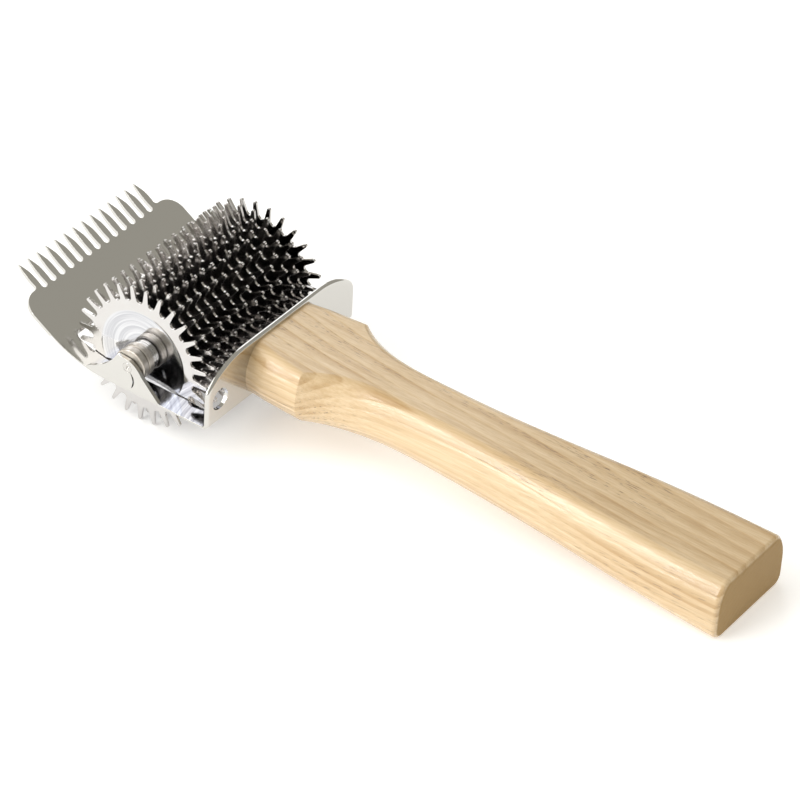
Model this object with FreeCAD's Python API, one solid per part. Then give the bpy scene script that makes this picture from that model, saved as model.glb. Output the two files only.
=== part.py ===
import FreeCAD, Part
import math
import os

# Honeycomb uncapping roller. One bent stainless sheet carries a spiked roller between two ears and
# ends in an uncapping fork. A wooden handle is screwed to the sheet's upright rear wall.
#
# Tool frame, in millimetres: the origin is the middle of the roller's axle, +X runs towards the
# fork's tips, +Y towards the left ear and +Z up from the bracket's floor. The finished part is
# laid down on its roller and its handle's butt, with the origin under the middle of its box.

# Spiked roller
TIP_RADIUS = 30.0
ROOT_RADIUS = 23.3
TEETH = 28
TIP_ROUND = 0.72
GULLET_ROUND = 1.6
DISC_THICKNESS = 1.0
DISC_PITCH = 5.025
DISH_RADIUS = 19.5
DISH_FLAT_RADIUS = 9.5
DISH_DEPTH = 1.0
DISH_BOW = 0.75
FIRST_TOOTH = 1.74
# The discs are clamped on the hub one by one, so each sits a little round from the first, in degrees.
DISC_TURNS = (0, 0.3, -0.2, 0.2, 0.4, -0.3, 0.5, 3.7, 0.9, 0.8, 2.4, -1.5, 3.6, -2.2, 5.0)

# Hub, axle and rings
AXLE_RADIUS = 3.0
AXLE_END_RADIUS = 2.0
CENTRE_MARK_RADIUS = 0.8
RUNNING_GAP = 0.05
RING_GAP = 0.3
HUB_RADIUS = 5.0
SPACER_RADIUS = 8.5
COLLAR_RADIUS = 5.8
COLLAR_LENGTH = 1.65
RING_RADIUS = 6.75
RING_EDGE = 0.5

# Bracket sheet
SHEET = 1.5
HALF_WIDTH = 44.7
FLOOR = -11.15
WALL_X = -37.6
WALL_TOP = 15.3
WALL_CROWN_RADIUS = 32.0
WALL_CORNER_RADIUS = 6.5
WALL_CROWN_FLAT = 22.0
WALL_BEND = 1.0
WINDOW_HALF_LENGTH = 32.0
WINDOW_HALF_WIDTH = 36.1
WINDOW_CORNER = 3.0
HANG_HOLE_RADIUS = 4.5
HANG_HOLE_Y = 37.3
EAR_EDGE_ROUND = 1.2

# Ear outline in X and Z, from its back foot over the axle to its front foot. A run of one point is
# straight, and a run of two is an arc through the first. The slit's two sides are arcs too.
EAR_BACK_FOOT = -16.3
EAR_FRONT_FOOT = 20.2
EAR_RUNS = (
    ((-6.4, -1.2),),
    ((-4.1, 1.6), (-0.8, 3.5)),
    ((4.2, 3.9),),
    ((4.9, 3.6), (5.3, 3.0)),
    ((10.2, -2.9), (17.4, -7.2)),
)
EAR_TOE = (19.0, -8.4)
SLIT_ENDS = ((-1.2, -1.5), (-1.9, -8.6))
SLIT_SIDES = ((-3.3, -4.9), (-2.5, -4.9))

# Uncapping fork
FORK_X = 24.65
FORK_ANGLE = 31.8
FORK_BEND_RADIUS = 50.0
TINES = 14
TINE_PITCH = 5.23
TINE_TIP = 43.0
TINE_HALF_WIDTH = 1.35
TINE_NECK = 0.85
TINE_POINT = 0.5
SLOT_EXTRA = 0.15
SLOT_END = 30.0
SHOULDER = 31.4
SHOULDER_ROUND = 7.5
HEEL_BOW = 0.3
TIP_BEVEL_START = 38.1
TIP_BEVEL_LEFT = 0.8

# Handle: distance behind the roller's axle, half width, top, bottom, half width of the flat top and
# lower corner radius. The head runs straight from station to station and ends in a ridge, from which
# the grip flows to the butt.
RIDGE = (61.0, 23.3, 12.5, -11.7, 20.2, 11.0)
HEAD_STATIONS = (
    (37.6, 22.2, 13.4, -11.6, 15.5, 12.0),
    (45.0, 23.0, 13.1, -11.6, 17.6, 11.8),
    RIDGE,
)
GRIP_STATIONS = (
    RIDGE,
    (66.0, 20.6, 12.4, -11.7, 16.4, 10.5),
    (76.0, 17.0, 12.3, -11.8, 11.8, 10.0),
    (92.0, 14.5, 11.9, -11.9, 9.9, 10.0),
    (114.0, 14.3, 11.6, -12.2, 10.0, 9.5),
    (150.0, 16.2, 11.4, -12.7, 11.4, 9.0),
    (187.0, 19.2, 10.8, -13.2, 14.9, 8.0),
    (220.0, 21.2, 10.3, -13.8, 16.8, 6.0),
    (244.3, 21.9, 10.0, -14.1, 17.2, 4.5),
)
TOP_EDGE_ROUND = 1.8
WIDEST_DOWN = 0.5
BUTT_ROUND = 2.0

# Handle screws
SCREW_PLACES = ((13.0, 7.0), (-13.0, 7.0), (13.0, -5.0), (-13.0, -5.0))
SCREW_RADIUS = 1.9
SCREW_HOLE_GAP = 0.1
SCREW_TIP_RADIUS = 0.2
SCREW_LENGTH = 24.0
SCREW_POINT = 4.0
SCREW_HEAD_RADIUS = 3.7
SCREW_HEAD_HEIGHT = 2.2
SCREW_SLOT = 0.9

# How far every cutting shape runs past the material it cuts.
OVERCUT = 1.0

# How far the middle of a quarter round stands in from each of its two sides, in radii.
QUARTER_ROUND = 1 - math.sqrt(0.5)

HALF_PITCH = math.pi / TEETH
LEFT_END_DISC = (len(DISC_TURNS) - 1) / 2 * DISC_PITCH
HUB_HALF = LEFT_END_DISC + DISC_THICKNESS / 2 - DISH_DEPTH + COLLAR_LENGTH
EAR_INNER = HALF_WIDTH - SHEET
RING_LENGTH = (EAR_INNER - HUB_HALF - 3 * RING_GAP) / 2
FORK_TURN = math.radians(FORK_ANGLE)
FORK_TANGENT = FORK_BEND_RADIUS * math.tan(FORK_TURN / 2)

ALONG_X = FreeCAD.Vector(1, 0, 0)
ALONG_Y = FreeCAD.Vector(0, 1, 0)


class Outline:
    """A closed run of straight and round stretches, drawn in one plane of the tool frame."""

    def __init__(self, plane, start):
        self.plane = plane
        self.here = plane(*start)
        self.first = self.here
        self.edges = []

    def line(self, *point):
        end = self.plane(*point)
        self.edges.append(Part.LineSegment(self.here, end).toShape())
        self.here = end

    def arc(self, through, point):
        end = self.plane(*point)
        self.edges.append(Part.Arc(self.here, self.plane(*through), end).toShape())
        self.here = end

    def face(self):
        if self.here.distanceToPoint(self.first) > 1e-6:
            self.edges.append(Part.LineSegment(self.here, self.first).toShape())
        return Part.Face(Part.Wire(self.edges))


def in_xz(y):
    return lambda x, z: FreeCAD.Vector(x, y, z)


def in_yz(x):
    return lambda y, z: FreeCAD.Vector(x, y, z)


def in_xy(z):
    return lambda x, y: FreeCAD.Vector(x, y, z)


def on_fork(along, across, up=0.0):
    """A point on the fork's underside, counted along it from the bend's corner."""
    x = FORK_X + along * math.cos(FORK_TURN) - up * math.sin(FORK_TURN)
    z = FLOOR + along * math.sin(FORK_TURN) + up * math.cos(FORK_TURN)
    return FreeCAD.Vector(x, across, z)


def y_cylinder(radius, low, high):
    return Part.makeCylinder(radius, high - low, FreeCAD.Vector(0, low, 0), ALONG_Y)


def ring(radius, bore, low, high):
    return y_cylinder(radius, low, high).cut(y_cylinder(bore, low - OVERCUT, high + OVERCUT))


def mirrored(shape):
    return shape.mirror(FreeCAD.Vector(0, 0, 0), ALONG_Y)


# ---- spiked roller ------------------------------------------------------------------------------

def polar(radius, angle):
    return radius * math.cos(angle), radius * math.sin(angle)


def flank():
    """The straight side of a tooth: where it leaves the tip's round and where it meets the gullet's.

    Both are (along the tooth, to its side). The side is the line that touches the two rounds."""
    tip = (TIP_RADIUS - TIP_ROUND, 0.0)
    gullet = polar(ROOT_RADIUS + GULLET_ROUND, HALF_PITCH)
    apart = math.hypot(gullet[0] - tip[0], gullet[1] - tip[1])
    bearing = math.atan2(gullet[1] - tip[1], gullet[0] - tip[0])
    normal = bearing - math.acos((TIP_ROUND + GULLET_ROUND) / apart)
    upper = (tip[0] + TIP_ROUND * math.cos(normal), tip[1] + TIP_ROUND * math.sin(normal))
    lower = (gullet[0] - GULLET_ROUND * math.cos(normal), gullet[1] - GULLET_ROUND * math.sin(normal))
    return upper, lower


def toothed_face(y, first_angle):
    upper, lower = flank()

    def turned(point, angle, side=1):
        along, across = point[0], side * point[1]
        return (along * math.cos(angle) - across * math.sin(angle),
                along * math.sin(angle) + across * math.cos(angle))

    outline = Outline(in_xz(y), turned(upper, first_angle, -1))
    for tooth in range(TEETH):
        here = first_angle + 2 * HALF_PITCH * tooth
        after = here + 2 * HALF_PITCH
        outline.arc(polar(TIP_RADIUS, here), turned(upper, here))
        outline.line(*turned(lower, here))
        outline.arc(polar(ROOT_RADIUS, here + HALF_PITCH), turned(lower, after, -1))
        if tooth < TEETH - 1:
            outline.line(*turned(upper, after, -1))
    return outline.face()


def dished_centre(y, hollow_side):
    """The disc's dished middle; hollow_side is 1 where the hollow faces +Y and -1 where it faces -Y."""
    rise = hollow_side * DISH_DEPTH
    middle = (DISH_FLAT_RADIUS + DISH_RADIUS) / 2
    faces = (y - DISC_THICKNESS / 2, y + DISC_THICKNESS / 2)
    profile = Outline(in_xy(0), (HUB_RADIUS, faces[0] - rise))
    profile.line(DISH_FLAT_RADIUS, faces[0] - rise)
    profile.arc((middle, faces[0] - DISH_BOW * rise), (DISH_RADIUS, faces[0]))
    profile.line(DISH_RADIUS, faces[1])
    profile.arc((middle, faces[1] - DISH_BOW * rise), (DISH_FLAT_RADIUS, faces[1] - rise))
    profile.line(HUB_RADIUS, faces[1] - rise)
    return profile.face().revolve(FreeCAD.Vector(0, 0, 0), ALONG_Y, 360)


def spike_disc(y, turn, hollow_side):
    low = y - DISC_THICKNESS / 2
    rim = toothed_face(low, math.radians(FIRST_TOOTH + turn)).extrude(ALONG_Y * DISC_THICKNESS)
    rim = rim.cut(y_cylinder(DISH_RADIUS, low - OVERCUT, low + DISC_THICKNESS + OVERCUT))
    return rim.fuse(dished_centre(y, hollow_side)).removeSplitter()


def roller():
    parts = {}
    places = [LEFT_END_DISC - DISC_PITCH * index for index in range(len(DISC_TURNS))]
    hollow_sides = [1] * (len(places) - 1) + [-1]
    centres = []
    for number, (y, turn, side) in enumerate(zip(places, DISC_TURNS, hollow_sides), 1):
        parts[f"spike_disc_{number:02d}"] = spike_disc(y, turn, side)
        centres.append(y - side * DISH_DEPTH)
    for number, (upper, lower) in enumerate(zip(centres, centres[1:]), 1):
        low = lower + DISC_THICKNESS / 2
        high = upper - DISC_THICKNESS / 2
        parts[f"disc_spacer_{number:02d}"] = ring(SPACER_RADIUS, HUB_RADIUS, low, high)
    parts["hub_tube"] = ring(HUB_RADIUS, AXLE_RADIUS + RUNNING_GAP, -HUB_HALF, HUB_HALF)
    collar = ring(COLLAR_RADIUS, HUB_RADIUS, HUB_HALF - COLLAR_LENGTH, HUB_HALF)
    parts["hub_collar_left"] = collar
    parts["hub_collar_right"] = mirrored(collar)
    return parts


# ---- axle and thrust rings ----------------------------------------------------------------------

def axle():
    shoulder = EAR_INNER - RING_GAP
    shaft = y_cylinder(AXLE_RADIUS, -shoulder, shoulder)
    shaft = shaft.fuse(y_cylinder(AXLE_END_RADIUS, -HALF_WIDTH, HALF_WIDTH))
    mark = Part.makeCone(0, CENTRE_MARK_RADIUS, CENTRE_MARK_RADIUS,
                         FreeCAD.Vector(0, HALF_WIDTH - CENTRE_MARK_RADIUS, 0), ALONG_Y)
    return shaft.cut(mark).cut(mirrored(mark))


def thrust_ring(low):
    body = ring(RING_RADIUS, AXLE_RADIUS + RUNNING_GAP, low, low + RING_LENGTH)
    rims = [edge for edge in body.Edges if edge.Curve.TypeId == "Part::GeomCircle"
            and abs(edge.Curve.Radius - RING_RADIUS) < 0.01]
    return body.makeFillet(RING_EDGE, rims)


def thrust_rings():
    parts = {}
    inner = thrust_ring(HUB_HALF + RING_GAP)
    outer = thrust_ring(HUB_HALF + 2 * RING_GAP + RING_LENGTH)
    for name, body in (("inner", inner), ("outer", outer)):
        parts[f"thrust_ring_left_{name}"] = body
        parts[f"thrust_ring_right_{name}"] = mirrored(body)
    return parts


# ---- bracket ------------------------------------------------------------------------------------

def bend_point(turn, radius):
    """A point on the fork bend, whose centre stands over the end of the flat floor."""
    x = FORK_X - FORK_TANGENT + radius * math.sin(turn)
    z = FLOOR + FORK_BEND_RADIUS - radius * math.cos(turn)
    return x, z


def bent_strip():
    """Rear wall, floor and fork bend at full width."""
    outer, inner = FORK_BEND_RADIUS, FORK_BEND_RADIUS - SHEET
    inside_x, inside_z = WALL_X + SHEET, FLOOR + SHEET
    big, small = WALL_BEND + SHEET, WALL_BEND
    centre_x, centre_z = WALL_X + big, FLOOR + big
    diagonal = math.sqrt(0.5)
    profile = Outline(in_xz(-HALF_WIDTH), (WALL_X, WALL_TOP))
    profile.line(WALL_X, centre_z)
    profile.arc((centre_x - big * diagonal, centre_z - big * diagonal), (centre_x, FLOOR))
    profile.line(*bend_point(0, outer))
    profile.arc(bend_point(FORK_TURN / 2, outer), bend_point(FORK_TURN, outer))
    profile.line(*bend_point(FORK_TURN, inner))
    profile.arc(bend_point(FORK_TURN / 2, inner), bend_point(0, inner))
    profile.line(centre_x, inside_z)
    profile.arc((centre_x - small * diagonal, centre_z - small * diagonal), (inside_x, centre_z))
    profile.line(inside_x, WALL_TOP)
    return profile.face().extrude(ALONG_Y * 2 * HALF_WIDTH)


def wall_silhouette():
    """The wall seen from behind: a flat crown, a wide arc to each side and a smaller round corner."""
    reach = HALF_WIDTH - WALL_CORNER_RADIUS - WALL_CROWN_FLAT
    sweep = math.asin(reach / (WALL_CROWN_RADIUS - WALL_CORNER_RADIUS))
    crown_z = WALL_TOP - WALL_CROWN_RADIUS
    corner_y = HALF_WIDTH - WALL_CORNER_RADIUS
    corner_z = crown_z + (WALL_CROWN_RADIUS - WALL_CORNER_RADIUS) * math.cos(sweep)

    def crown(side, turn):
        return (side * (WALL_CROWN_FLAT + WALL_CROWN_RADIUS * math.sin(turn)),
                crown_z + WALL_CROWN_RADIUS * math.cos(turn))

    def corner(side, turn):
        return (side * (corner_y + WALL_CORNER_RADIUS * math.sin(turn)),
                corner_z + WALL_CORNER_RADIUS * math.cos(turn))

    middle = (sweep + math.pi / 2) / 2
    below = FLOOR - OVERCUT
    outline = Outline(in_yz(WALL_X - OVERCUT), (-HALF_WIDTH, below))
    outline.line(-HALF_WIDTH, corner_z)
    outline.arc(corner(-1, middle), crown(-1, sweep))
    outline.arc(crown(-1, sweep / 2), crown(-1, 0))
    outline.line(*crown(1, 0))
    outline.arc(crown(1, sweep / 2), crown(1, sweep))
    outline.arc(corner(1, middle), (HALF_WIDTH, corner_z))
    outline.line(HALF_WIDTH, below)
    return outline.face().extrude(ALONG_X * 2 * abs(WALL_X))


def fork_plate():
    """The fork: square to the bend, round shoulders, then a row of leaf-shaped tines."""
    corner = SHOULDER_ROUND * QUARTER_ROUND
    first = (TINES - 1) / 2 * TINE_PITCH
    slot_round = TINE_PITCH / 2 - TINE_HALF_WIDTH + SLOT_EXTRA
    base = SLOT_END + slot_round
    half_base = TINE_PITCH / 2 - slot_round
    widest = (base + TIP_BEVEL_START) / 2
    taper = (TIP_BEVEL_START + TINE_TIP) / 2
    heel = SHOULDER - SLOT_END
    bow = HEEL_BOW * heel
    neck = TINE_NECK * TINE_HALF_WIDTH
    point = TINE_POINT * TINE_HALF_WIDTH
    outline = Outline(on_fork, (FORK_TANGENT, HALF_WIDTH))
    outline.line(SHOULDER - SHOULDER_ROUND, HALF_WIDTH)
    outline.arc((SHOULDER - corner, HALF_WIDTH - corner), (SHOULDER, HALF_WIDTH - SHOULDER_ROUND))
    outline.line(SHOULDER, first + half_base + heel)
    outline.arc((SHOULDER + bow, first + half_base + bow), (SHOULDER + heel, first + half_base))
    for tine in range(TINES):
        y = first - tine * TINE_PITCH
        outline.arc((widest, y + TINE_HALF_WIDTH), (TIP_BEVEL_START, y + neck))
        outline.arc((taper, y + point), (TINE_TIP, y))
        outline.arc((taper, y - point), (TIP_BEVEL_START, y - neck))
        if tine < TINES - 1:
            outline.arc((widest, y - TINE_HALF_WIDTH), (base, y - half_base))
            outline.arc((SLOT_END, y - TINE_PITCH / 2), (base, y - TINE_PITCH + half_base))
    outline.arc((widest, -first - TINE_HALF_WIDTH), (SHOULDER + heel, -first - half_base))
    outline.arc((SHOULDER + bow, -first - half_base - bow), (SHOULDER, -first - half_base - heel))
    outline.line(SHOULDER, SHOULDER_ROUND - HALF_WIDTH)
    outline.arc((SHOULDER - corner, corner - HALF_WIDTH), (SHOULDER - SHOULDER_ROUND, -HALF_WIDTH))
    outline.line(FORK_TANGENT, -HALF_WIDTH)
    upward = on_fork(0, 0, 1) - on_fork(0, 0)
    plate = outline.face().extrude(upward * SHEET)
    return plate.cut(tip_bevel(upward))


def tip_bevel(upward):
    """The wedge that is ground off the top of the tines' points."""
    past = TINE_TIP + OVERCUT
    start = on_fork(TIP_BEVEL_START, 0, SHEET)
    corners = [start, on_fork(past, 0, TIP_BEVEL_LEFT), on_fork(past, 0, 2 * SHEET), start]
    wedge = Part.Face(Part.makePolygon([point - ALONG_Y * HALF_WIDTH for point in corners]))
    return wedge.extrude(ALONG_Y * 2 * HALF_WIDTH)


def ear():
    """The left ear: a low triangle bent up from the floor, with a hollow front edge."""
    plate = Outline(in_xz(EAR_INNER), (EAR_BACK_FOOT, FLOOR))
    for run in EAR_RUNS:
        if len(run) == 1:
            plate.line(*run[0])
        else:
            plate.arc(*run)
    bend_start = bend_point(0, 0)[0]
    halfway = (EAR_FRONT_FOOT + bend_start) / 2
    plate.arc(EAR_TOE, (EAR_FRONT_FOOT, bend_height(EAR_FRONT_FOOT)))
    plate.arc((halfway, bend_height(halfway)), bend_point(0, FORK_BEND_RADIUS))
    body = plate.face().extrude(ALONG_Y * SHEET)
    hole = y_cylinder(AXLE_END_RADIUS + RUNNING_GAP, EAR_INNER - OVERCUT, HALF_WIDTH + OVERCUT)
    slit = Outline(in_xz(EAR_INNER - OVERCUT), SLIT_ENDS[0])
    slit.arc(SLIT_SIDES[0], SLIT_ENDS[1])
    slit.arc(SLIT_SIDES[1], SLIT_ENDS[0])
    return body.cut(hole).cut(slit.face().extrude(ALONG_Y * (SHEET + 2 * OVERCUT)))


def bend_height(x):
    """Height of the fork bend's underside at x."""
    across = x - bend_point(0, 0)[0]
    return FLOOR + FORK_BEND_RADIUS - math.sqrt(FORK_BEND_RADIUS ** 2 - across ** 2)


def window():
    """The opening in the floor that the roller stands in, with round corners."""
    box = Part.makeBox(2 * WINDOW_HALF_LENGTH, 2 * WINDOW_HALF_WIDTH, 4 * SHEET + abs(FLOOR),
                       FreeCAD.Vector(-WINDOW_HALF_LENGTH, -WINDOW_HALF_WIDTH, FLOOR - SHEET))
    upright = [edge for edge in box.Edges if edge.BoundBox.ZLength > SHEET]
    return box.makeFillet(WINDOW_CORNER, upright)


def round_ear_bends(sheet):
    """Rounds the outside of the two ear bends, along the flat part of the floor."""
    outside = [edge for edge in sheet.Edges
               if abs(abs(edge.CenterOfMass.y) - HALF_WIDTH) < 0.01 and edge.BoundBox.YLength < 0.01
               and abs(edge.BoundBox.ZMax - FLOOR) < 0.01 and edge.BoundBox.XLength > 1]
    return sheet.makeFillet(EAR_EDGE_ROUND, outside)


def bracket():
    sheet = bent_strip().common(wall_silhouette())
    left = ear()
    sheet = round_ear_bends(sheet.fuse([left, mirrored(left)]).removeSplitter())
    sheet = sheet.fuse(fork_plate()).removeSplitter().cut(window())
    holes = [(HANG_HOLE_Y, 0.0, HANG_HOLE_RADIUS)]
    holes += [(y, z, SCREW_RADIUS + SCREW_HOLE_GAP) for y, z in SCREW_PLACES]
    for y, z, radius in holes:
        drill = Part.makeCylinder(radius, 3 * SHEET, FreeCAD.Vector(WALL_X - SHEET, y, z), ALONG_X)
        sheet = sheet.cut(drill)
    return sheet


# ---- handle and its screws ----------------------------------------------------------------------

def handle_section(behind, half_width, top, bottom, top_half, lower_round):
    """A section across the handle: a flat top with crisp edges, bowed sides and round lower corners."""
    widest = top - WIDEST_DOWN * (top - bottom)
    inward = half_width - top_half
    side_radius = (inward ** 2 + (top - widest) ** 2) / (2 * inward)
    lower = lower_round * QUARTER_ROUND

    def side(z):
        return half_width - side_radius + math.sqrt(side_radius ** 2 - (z - widest) ** 2)

    edge_start = (top_half - TOP_EDGE_ROUND, top)
    edge_end = (side(top - TOP_EDGE_ROUND), top - TOP_EDGE_ROUND)
    edge_reach = edge_start[0] + edge_end[0] - 2 * top_half
    edge_middle = (top_half + QUARTER_ROUND * edge_reach, top - QUARTER_ROUND * TOP_EDGE_ROUND)
    side_middle = (side((top + widest) / 2), (top + widest) / 2)

    def across(point):
        return -point[0], point[1]

    outline = Outline(in_yz(-behind), edge_start)
    outline.line(*across(edge_start))
    outline.arc(across(edge_middle), across(edge_end))
    outline.arc(across(side_middle), (-half_width, widest))
    outline.line(-half_width, bottom + lower_round)
    outline.arc((lower - half_width, bottom + lower), (lower_round - half_width, bottom))
    outline.line(half_width - lower_round, bottom)
    outline.arc((half_width - lower, bottom + lower), (half_width, bottom + lower_round))
    outline.line(half_width, widest)
    outline.arc(side_middle, edge_end)
    outline.arc(edge_middle, edge_start)
    return Part.Wire(outline.edges)


def handle():
    head = Part.makeLoft([handle_section(*station) for station in HEAD_STATIONS], True, True)
    grip = Part.makeLoft([handle_section(*station) for station in GRIP_STATIONS], True, False)
    butt_x = -GRIP_STATIONS[-1][0]
    rim = [edge for edge in grip.Edges if abs(edge.BoundBox.XMax - butt_x) < 0.01]
    grip = grip.makeFillet(BUTT_ROUND, rim).fuse(head).removeSplitter()
    for y, z in SCREW_PLACES:
        grip = grip.cut(screw_shank(y, z, SCREW_HOLE_GAP / 2))
    return grip


def screw_shank(y, z, extra):
    """A wood screw's pointed shank, extra thicker all round, from the wall's inner face backwards."""
    radius = SCREW_RADIUS + extra
    length = SCREW_LENGTH + extra
    start = FreeCAD.Vector(WALL_X + SHEET, y, z)
    straight = Part.makeCylinder(radius, length - SCREW_POINT, start, -ALONG_X)
    shoulder = start - ALONG_X * (length - SCREW_POINT)
    point = Part.makeCone(radius, SCREW_TIP_RADIUS, SCREW_POINT, shoulder, -ALONG_X)
    return straight.fuse(point).removeSplitter()


def screw(y, z):
    face = WALL_X + SHEET
    head = Part.makeCylinder(SCREW_HEAD_RADIUS, SCREW_HEAD_HEIGHT, FreeCAD.Vector(face, y, z), ALONG_X)
    crown = [edge for edge in head.Edges if edge.BoundBox.XMin > face + SCREW_HEAD_HEIGHT - 0.01]
    head = head.makeFillet(SCREW_HEAD_HEIGHT / 2, crown)
    for width, height in ((SCREW_SLOT, SCREW_HEAD_RADIUS), (SCREW_HEAD_RADIUS, SCREW_SLOT)):
        corner = FreeCAD.Vector(face + SCREW_HEAD_HEIGHT / 2, y - width / 2, z - height / 2)
        head = head.cut(Part.makeBox(SCREW_HEAD_HEIGHT, width, height, corner))
    return head.fuse(screw_shank(y, z, 0.0)).removeSplitter()


def handle_screws():
    return Part.makeCompound([screw(y, z) for y, z in SCREW_PLACES])


# ---- laying the tool down and writing the files -------------------------------------------------

def resting_turn():
    """How far the tool leans back, in degrees, when the roller and the butt both touch the ground."""
    behind, _, _, bottom, _, _ = GRIP_STATIONS[-1]
    back = behind - BUTT_ROUND
    down = -bottom
    return math.degrees(math.asin(TIP_RADIUS / math.hypot(back, down)) - math.atan2(down, back))


def lay_down(parts):
    """Turns every shape into the resting pose and puts the origin under the middle of the box."""
    lean = FreeCAD.Placement(FreeCAD.Vector(0, 0, 0), FreeCAD.Rotation(ALONG_Y, -resting_turn()))
    turned = {name: moved(shape, lean) for name, shape in parts.items()}
    whole = Part.makeCompound(list(turned.values())).optimalBoundingBox(False)
    shift = FreeCAD.Placement(FreeCAD.Vector(-whole.Center.x, 0, -whole.ZMin), FreeCAD.Rotation())
    print("leans back %.3f degrees, moved by %.3f, %.3f" % (resting_turn(), -whole.Center.x, -whole.ZMin))
    print("size %.2f x %.2f x %.2f" % (whole.XLength, whole.YLength, whole.ZLength))
    return {name: moved(shape, shift) for name, shape in turned.items()}


def moved(shape, placement):
    copy = shape.copy()
    copy.Placement = placement.multiply(copy.Placement)
    return copy


def main():
    parts = {"bracket": bracket(), "axle": axle(), "handle": handle(), "handle_screws": handle_screws()}
    parts.update(thrust_rings())
    parts.update(roller())
    os.makedirs("parts", exist_ok=True)
    for name, shape in lay_down(parts).items():
        solids = len(shape.Solids)
        if not shape.isValid() or solids != (len(SCREW_PLACES) if name == "handle_screws" else 1):
            print("check", name, "valid", shape.isValid(), "solids", solids)
        shape.exportStep(f"parts/{name}.step")


main()
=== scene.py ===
"""Looks of the honeycomb uncapping roller, in metres: steels, varnished ash, floor, lights, camera."""

import math

import bpy
from mathutils import Matrix, Vector

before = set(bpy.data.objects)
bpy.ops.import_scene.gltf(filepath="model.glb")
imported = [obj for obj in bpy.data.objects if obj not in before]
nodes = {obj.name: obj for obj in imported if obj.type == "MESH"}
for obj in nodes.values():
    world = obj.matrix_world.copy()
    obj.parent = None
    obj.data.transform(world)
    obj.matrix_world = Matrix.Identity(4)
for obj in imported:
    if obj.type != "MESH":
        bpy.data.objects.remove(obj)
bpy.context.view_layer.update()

# Camera.
AZIMUTH = 216.234
ELEVATION = 35.854
ROLL = -0.240
DISTANCE = 1.6405
LENS = 202.85
AIM = Vector((-0.00016, 0.00101, 0.02878))

# Light.
SKY = (0.47, 0.455, 0.405)
FLOOR_SIZE = 12.0
FLOOR_WHITE = (0.94, 0.94, 0.94)
FLOOR_GLOW = 0.30


def back_of(azimuth, elevation):
    """Unit vector from the object towards a viewer at that azimuth and elevation."""
    a, e = math.radians(azimuth), math.radians(elevation)
    return Vector((math.sin(a) * math.cos(e), -math.cos(a) * math.cos(e), math.sin(e)))


# ---------------------------------------------------------------- node helpers

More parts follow.
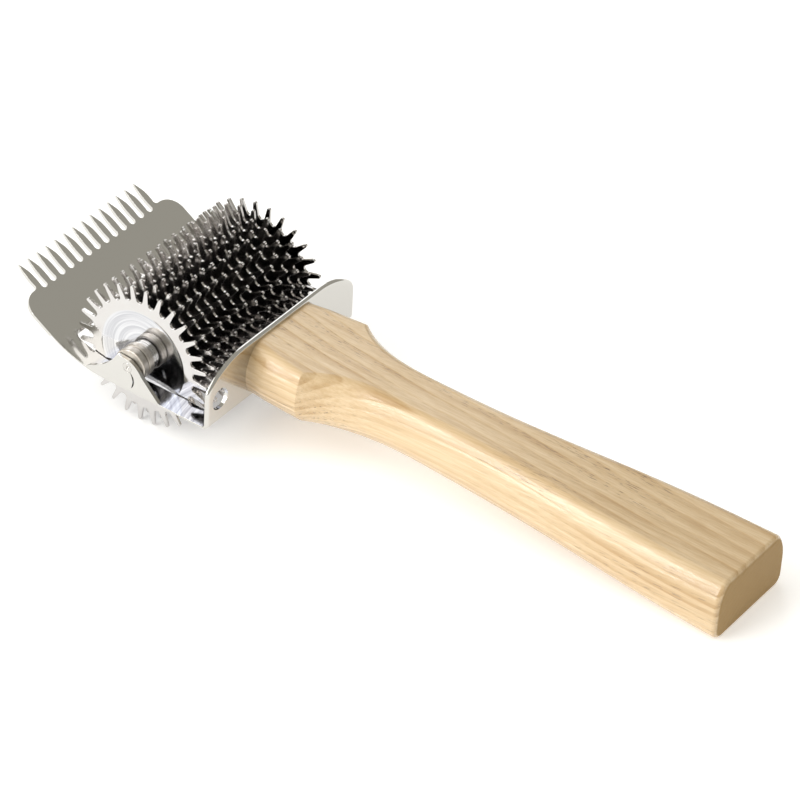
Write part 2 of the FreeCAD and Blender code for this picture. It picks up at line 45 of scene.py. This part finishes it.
class Shader:
    """A principled material, and short ways to add nodes to it."""

    def __init__(self, name, colour, metallic, roughness):
        self.material = bpy.data.materials.new(name)
        self.material.use_nodes = True
        self.tree = self.material.node_tree
        self.surface = self.tree.nodes["Principled BSDF"]
        self.surface.inputs["Base Color"].default_value = (*colour, 1)
        self.surface.inputs["Metallic"].default_value = metallic
        self.surface.inputs["Roughness"].default_value = roughness

    def feed(self, socket, value):
        """Links an output to an input, or sets the input to a plain value."""
        if isinstance(value, bpy.types.NodeSocket):
            self.tree.links.new(value, socket)
        else:
            socket.default_value = value

    def coordinates(self, stretch=(1, 1, 1), offset=(0, 0, 0), turn=(0, 0, 0)):
        """Object coordinates, in metres, moved, turned and then stretched."""
        place = self.tree.nodes.new("ShaderNodeTexCoord")
        mapping = self.tree.nodes.new("ShaderNodeMapping")
        mapping.inputs["Location"].default_value = offset
        mapping.inputs["Rotation"].default_value = turn
        mapping.inputs["Scale"].default_value = stretch
        self.tree.links.new(place.outputs["Object"], mapping.inputs["Vector"])
        return mapping.outputs["Vector"]

    def split(self, vector):
        node = self.tree.nodes.new("ShaderNodeSeparateXYZ")
        self.tree.links.new(vector, node.inputs[0])
        return node.outputs

    def join(self, *values):
        node = self.tree.nodes.new("ShaderNodeCombineXYZ")
        for socket, value in zip(node.inputs, values):
            self.feed(socket, value)
        return node.outputs[0]

    def unit(self, vector):
        node = self.tree.nodes.new("ShaderNodeVectorMath")
        node.operation = "NORMALIZE"
        self.tree.links.new(vector, node.inputs[0])
        return node.outputs["Vector"]

    def facing(self):
        return self.tree.nodes.new("ShaderNodeNewGeometry").outputs["Normal"]

    def noise(self, vector, scale, detail=2.0, roughness=0.5):
        node = self.tree.nodes.new("ShaderNodeTexNoise")
        node.inputs["Scale"].default_value = scale
        node.inputs["Detail"].default_value = detail
        node.inputs["Roughness"].default_value = roughness
        self.tree.links.new(vector, node.inputs["Vector"])
        return node.outputs["Fac"]

    def math(self, operation, *values):
        node = self.tree.nodes.new("ShaderNodeMath")
        node.operation = operation
        for socket, value in zip(node.inputs, values):
            self.feed(socket, value)
        return node.outputs[0]

    def distance(self, first, second):
        """Length of the diagonal over two sides."""
        squares = [self.math("MULTIPLY", side, side) for side in (first, second)]
        return self.math("SQRT", self.math("ADD", *squares))

    def spread(self, value, low, high, to_low=0.0, to_high=1.0):
        """value from low..high laid on to_low..to_high, clamped."""
        node = self.tree.nodes.new("ShaderNodeMapRange")
        ends = {"From Min": low, "From Max": high, "To Min": to_low, "To Max": to_high}
        for name, number in ends.items():
            node.inputs[name].default_value = number
        self.tree.links.new(value, node.inputs["Value"])
        return node.outputs["Result"]

    def mix(self, factor, first, second, blend="MIX"):
        node = self.tree.nodes.new("ShaderNodeMix")
        node.data_type = "RGBA"
        node.blend_type = blend
        self.feed(node.inputs["Factor"], factor)
        for socket, value in ((node.inputs[6], first), (node.inputs[7], second)):
            self.feed(socket, (*value, 1) if isinstance(value, tuple) else value)
        return node.outputs[2]

    def ramp(self, value, *stops):
        node = self.tree.nodes.new("ShaderNodeValToRGB")
        elements = node.color_ramp.elements
        while len(elements) < len(stops):
            elements.new(0.5)
        for element, (place, colour) in zip(elements, stops):
            element.position = place
            element.color = (*colour, 1)
        self.tree.links.new(value, node.inputs["Fac"])
        return node.outputs["Color"]

    def bump(self, height, strength, distance, under=None):
        node = self.tree.nodes.new("ShaderNodeBump")
        node.inputs["Strength"].default_value = strength
        node.inputs["Distance"].default_value = distance
        self.tree.links.new(height, node.inputs["Height"])
        if under is not None:
            self.tree.links.new(under, node.inputs["Normal"])
        return node.outputs["Normal"]

    def soft_edges(self, radius):
        node = self.tree.nodes.new("ShaderNodeBevel")
        node.samples = 4
        node.inputs["Radius"].default_value = radius
        return node.outputs["Normal"]

    def set(self, name, value):
        self.feed(self.surface.inputs[name], value)


# ---------------------------------------------------------------- materials

# The streaks stop at this height, and fade out over the last of it.
SWIRL_TOP = 0.0265
SWIRL_FADE = 0.0015
SHEET_GREY = (0.62, 0.61, 0.585)


def polished_sheet():
    """Mirror-bright sheet; the flat floor under the roller keeps streaks from polishing, painted into
    its colour as dark and bluish-bright bands of reflection.
    """
    m = Shader("polished_sheet", SHEET_GREY, 1.0, 0.10)
    x, y, z = m.split(m.coordinates())
    bow = m.math("MULTIPLY", m.math("POWER", m.math("SUBTRACT", y, 0.030), 2.0), 9.0)
    low = m.spread(z, SWIRL_TOP - SWIRL_FADE, SWIRL_TOP, 1.0, 0.0)
    level = m.spread(m.split(m.facing())[2], 0.97, 0.99)
    across = m.math("MULTIPLY", m.math("ADD", x, bow), 620.0)
    streak_place = m.join(across, m.math("MULTIPLY", y, 26.0), 0.0)
    streak = m.spread(m.noise(streak_place, 1.0, 4.0, 0.65), 0.38, 0.66)
    # Painted reflection: the real polishing streaks are painted as dark and bluish-bright bands,
    # standing in for how the scratches catch the light.
    painted_swirl_reflection = m.mix(streak, (0.34, 0.35, 0.40), (0.70, 0.72, 0.78))
    m.set("Base Color", m.mix(m.math("MULTIPLY", low, level), SHEET_GREY, painted_swirl_reflection))
    rolled = m.noise(m.coordinates((60, 900, 900)), 1.0, 3.0)
    m.set("Roughness", m.spread(rolled, 0.3, 0.7, 0.07, 0.15))
    waves = m.noise(m.coordinates(), 60.0, 1.0)
    m.set("Normal", m.bump(waves, 0.2, 0.0002, m.soft_edges(0.00012)))
    return m.material


# The roller's axle in X and Z, the edge of a disc's dish, how far inside it the polishing marks and
# their painted reflection begin, and the share of the dish's slope that its reflections follow.
AXLE = (0.0920, 0.0300)
DISH_EDGE = 0.0195
DISH_FADE = 0.0008
DISH_SLOPE = 0.35


def disc_steel(name, dull):
    """Stamped disc; dull runs from 0, bright and marked by polishing, to 1, stained; the polishing
    marks in the dish are painted as bands of reflection.
    """
    m = Shader(name, (0.62, 0.605, 0.59), 1.0, 0.10)
    stain = m.noise(m.coordinates(), 140.0, 3.0)
    m.set("Roughness", m.spread(stain, 0.3, 0.7, 0.05 + 0.13 * dull, 0.12 + 0.16 * dull))
    worn = (0.62 - 0.06 * dull, 0.60 - 0.09 * dull, 0.59 - 0.10 * dull)
    sheen = m.ramp(stain, (0.35, (0.64, 0.63, 0.62)), (0.75, worn))

    # Round polishing marks inside the dish, painted as dark and bluish-bright bands of reflection that
    # lighten it; the dish mirrors its surroundings as a flatter one would.
    x, _, z = m.split(m.coordinates())
    across, up = m.math("SUBTRACT", x, AXLE[0]), m.math("SUBTRACT", z, AXLE[1])
    out = m.distance(across, up)
    inside = m.spread(out, DISH_EDGE - DISH_FADE, DISH_EDGE, 1.0, 0.0)
    mark_place = m.join(m.math("MULTIPLY", out, 900.0), m.math("MULTIPLY", across, 30.0), 0.0)
    marks = m.noise(mark_place, 1.0, 3.0, 0.6)
    painted_mark_reflection = m.mix(m.spread(marks, 0.40, 0.62), (0.50, 0.51, 0.55), (0.74, 0.75, 0.78))
    m.set("Base Color", m.mix(m.math("MULTIPLY", inside, 0.8 - 0.8 * dull), sheen, painted_mark_reflection))
    nx, ny, nz = m.split(m.soft_edges(0.0002))
    less = m.math("SUBTRACT", 1.0, m.math("MULTIPLY", inside, 1.0 - DISH_SLOPE))
    m.set("Normal", m.unit(m.join(m.math("MULTIPLY", nx, less), ny, m.math("MULTIPLY", nz, less))))
    return m.material


def turned_steel():
    m = Shader("turned_steel", (0.60, 0.585, 0.56), 1.0, 0.18)
    turning = m.noise(m.coordinates((40, 6000, 40)), 1.0, 2.0)
    m.set("Roughness", m.spread(turning, 0.3, 0.7, 0.14, 0.26))
    m.set("Normal", m.soft_edges(0.0003))
    return m.material


def ring_steel():
    m = Shader("ring_steel", (0.52, 0.48, 0.43), 1.0, 0.38)
    mottle = m.noise(m.coordinates((500, 1400, 500)), 1.0, 4.0, 0.6)
    shades = ((0.30, (0.42, 0.37, 0.32)), (0.55, (0.56, 0.525, 0.475)), (0.80, (0.66, 0.63, 0.59)))
    m.set("Base Color", m.ramp(mottle, *shades))
    m.set("Roughness", m.spread(mottle, 0.3, 0.7, 0.32, 0.45))
    m.set("Normal", m.bump(mottle, 0.15, 0.0001, m.soft_edges(0.0002)))
    return m.material


def screw_steel():
    m = Shader("screw_steel", (0.60, 0.59, 0.57), 1.0, 0.20)
    m.set("Roughness", m.spread(m.noise(m.coordinates(), 700.0), 0.3, 0.7, 0.15, 0.3))
    m.set("Normal", m.soft_edges(0.0002))
    return m.material


RING_PITCH = 0.0026

# How deep the colour is at each place in one year's growth, from early wood to late wood.
YEAR_DEPTHS = ((0.0, 0.10), (0.10, 1.0), (0.38, 0.70), (0.78, 0.0), (1.0, 0.05))
PITH = (-0.055, -0.075)
PALE_WOOD = (0.66, 0.49, 0.285)
LIGHT_WOOD = (0.74, 0.58, 0.37)
TAN_WOOD = (0.50, 0.325, 0.145)
FIBRE_SHADE = (0.82, 0.74, 0.62)
PORE_BROWN = (0.16, 0.10, 0.055)
END_GRAIN = (0.37, 0.235, 0.090)


def ash_wood():
    """Pale ash with growth rings, fibres and pores along X, under a clear varnish."""
    m = Shader("ash_wood", PALE_WOOD, 0.0, 0.5)
    x, y, z = m.split(m.coordinates())

    # Growth rings round a pith line beside and below the handle, a little out of line with it.
    sway = m.noise(m.coordinates((6, 14, 14)), 1.0, 1.0)
    wander = m.math("MULTIPLY", m.math("SUBTRACT", sway, 0.5), 0.004)
    dy = m.math("ADD", m.math("SUBTRACT", y, PITH[0]), m.math("MULTIPLY", x, 0.02))
    dz = m.math("ADD", m.math("SUBTRACT", z, PITH[1]), m.math("MULTIPLY", x, -0.05))
    out = m.distance(dy, dz)
    year = m.math("FRACT", m.math("DIVIDE", m.math("ADD", out, wander), RING_PITCH))
    early = m.ramp(year, *((place, (depth,) * 3) for place, depth in YEAR_DEPTHS))

    # Fibres, broad bands, and short pores that sit in the early wood.
    fibre = m.noise(m.coordinates((20, 1300, 1300)), 1.0, 3.0, 0.65)
    broad = m.noise(m.coordinates((3, 150, 150)), 1.0, 2.0)
    pores = m.noise(m.coordinates((170, 2400, 2400)), 1.0, 1.0)
    pore = m.math("MULTIPLY", m.spread(pores, 0.58, 0.68), early)
    patch = m.spread(m.noise(m.coordinates((11, 60, 60), (0.3, 0.1, 0.2)), 1.0, 1.0), 0.48, 0.64)

    depth = m.math("MULTIPLY", early, m.spread(broad, 0.35, 0.65, 0.35, 1.0))
    colour = m.mix(depth, PALE_WOOD, TAN_WOOD)
    colour = m.mix(m.spread(broad, 0.30, 0.62, 0.55, 0.0), colour, LIGHT_WOOD)
    shaded = m.mix(1.0, colour, FIBRE_SHADE, "MULTIPLY")
    colour = m.mix(m.spread(fibre, 0.35, 0.65, 0.0, 0.7), colour, shaded)
    pore_share = m.math("ADD", 0.12, m.math("MULTIPLY", patch, 0.8))
    colour = m.mix(m.math("MULTIPLY", pore, pore_share), colour, PORE_BROWN)
    across = m.spread(m.math("ABSOLUTE", m.split(m.facing())[0]), 0.80, 0.95)
    m.set("Base Color", m.mix(across, colour, END_GRAIN))

    relief = m.math("ADD", m.math("MULTIPLY", early, -0.8), m.math("MULTIPLY", fibre, 0.5))
    m.set("Normal", m.bump(relief, 0.3, 0.0003))
    m.set("Roughness", m.spread(across, 0.0, 1.0, 0.42, 0.8))
    m.set("Coat Weight", m.math("SUBTRACT", 0.9, m.math("MULTIPLY", across, 0.8)))
    m.set("Coat Roughness", 0.12)
    m.set("Coat Normal", m.bump(relief, 0.8, 0.0005))
    return m.material


def floor_white():
    m = Shader("floor_white", FLOOR_WHITE, 0.0, 0.9)
    faint = m.noise(m.coordinates(), 3.0)
    m.set("Base Color", m.ramp(faint, (0.0, FLOOR_WHITE), (1.0, tuple(c * 0.99 for c in FLOOR_WHITE))))
    m.set("Specular IOR Level", 0.0)
    m.set("Emission Color", (1, 1, 1, 1))
    m.set("Emission Strength", FLOOR_GLOW)
    return m.material


# ---------------------------------------------------------------- finishes on the CAD nodes

FINISHES = {
    "polished_sheet": polished_sheet(),
    "disc_steel": disc_steel("disc_steel", 0.6),
    "turned_steel": turned_steel(),
    "ring_steel": ring_steel(),
    "screw_steel": screw_steel(),
    "ash_wood": ash_wood(),
}


def finish_nodes():
    """Each CAD node's slots take the finish that has the slot's name."""
    for node in nodes.values():
        for held in node.material_slots:
            held.material = FINISHES[held.material.name.split(".")[0]]
    bright = disc_steel("disc_steel_end", 0.0)
    for name in ("spike_disc_01", "spike_disc_15"):
        nodes[name].material_slots[0].material = bright


# ---------------------------------------------------------------- floor, light and camera

def floor():
    half = FLOOR_SIZE / 2
    mesh = bpy.data.meshes.new("floor")
    corners = [(-half, -half, 0), (half, -half, 0), (half, half, 0), (-half, half, 0)]
    mesh.from_pydata(corners, [], [(0, 1, 2, 3)])
    mesh.materials.append(floor_white())
    made = bpy.data.objects.new("floor", mesh)
    bpy.context.scene.collection.objects.link(made)


def softbox(name, towards, distance, width, height, radiance, colour=(1, 1, 1)):
    """A rectangular light in that direction from the object, facing it."""
    light = bpy.data.lights.new(name, "AREA")
    light.shape = "RECTANGLE"
    light.size, light.size_y = width, height
    light.energy = radiance * width * height * math.pi
    light.color = colour
    made = bpy.data.objects.new(name, light)
    made.location = AIM + Vector(towards).normalized() * distance
    made.rotation_euler = (AIM - made.location).to_track_quat("-Z", "Y").to_euler()
    bpy.context.scene.collection.objects.link(made)
    return made


def lights():
    world = bpy.data.worlds.new("studio")
    world.use_nodes = True
    world.node_tree.nodes["Background"].inputs["Color"].default_value = (*SKY, 1)
    bpy.context.scene.world = world
    softbox("key", (0.47, 0.70, 0.53), 1.4, 1.2, 1.4, 1.9)
    softbox("low", (0.478, 0.859, 0.20), 1.4, 0.9, 0.34, 8.0)
    softbox("strip", (0.44, -0.65, 0.62), 1.4, 0.42, 0.9, 1.6, (0.92, 0.95, 1.0))
    top = softbox("overhead", (0, 0, 1), 1.8, 2.2, 2.2, 0.9)
    top.visible_glossy = False


def camera():
    back = back_of(AZIMUTH, ELEVATION)
    lens = bpy.data.cameras.new("camera")
    lens.sensor_width = 36
    lens.lens = LENS
    lens.clip_start, lens.clip_end = 0.05, 50
    made = bpy.data.objects.new("camera", lens)
    turn = (-back).to_track_quat("-Z", "Y").to_matrix().to_4x4()
    roll = Matrix.Rotation(math.radians(ROLL), 4, "Z")
    made.matrix_world = Matrix.Translation(AIM + back * DISTANCE) @ turn @ roll
    bpy.context.scene.collection.objects.link(made)
    bpy.context.scene.camera = made


finish_nodes()
floor()
lights()
camera()
bpy.context.scene.view_settings.view_transform = "Standard"
